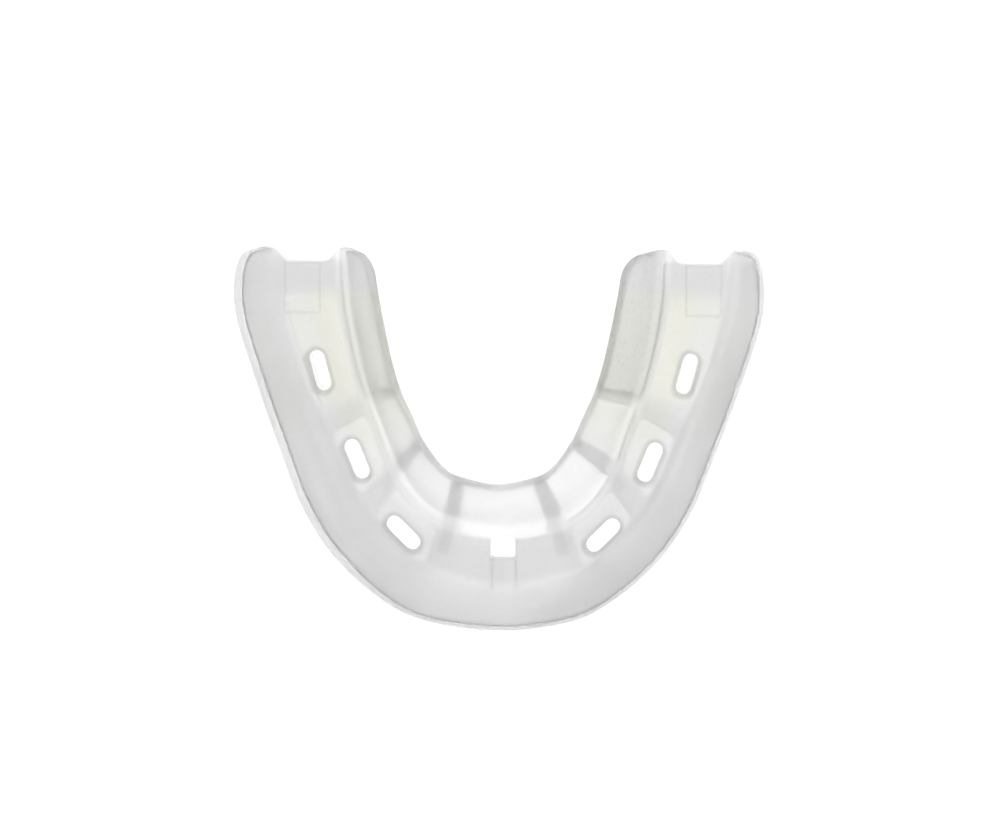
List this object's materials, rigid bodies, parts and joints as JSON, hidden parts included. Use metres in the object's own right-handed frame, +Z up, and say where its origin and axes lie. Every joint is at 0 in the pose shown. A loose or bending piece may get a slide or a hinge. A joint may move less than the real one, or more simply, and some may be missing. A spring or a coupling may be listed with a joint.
{
  "type": "mouthguard",
  "caption": "U-shaped boil-and-bite mouthguard with an open tooth trough: firm clear outer frame with cross ribs, soft liner, slotted floor and molar pads.",
  "frame": {"origin": "middle of the resting face, below the centre of the overall box", "axes": "+X to the wearer's left-to-right width, +Y from the front teeth to the back of the legs, +Z up out of the tooth trough"},
  "size_m": [0.0662, 0.0472, 0.015],
  "materials": {
    "clear_shell": "clear thermoplastic, satin, slightly milky where it is thick",
    "clear_liner": "soft clear elastomer, satin with a moulded mottle",
    "molar_pad": "soft elastomer with a faint warm tint"
  },
  "bodies": {
    "root": {"outer_frame": "clear_shell", "fit_liner": "clear_liner", "molar_pad_left": "molar_pad", "molar_pad_right": "molar_pad"}
  },
  "joints": []
}
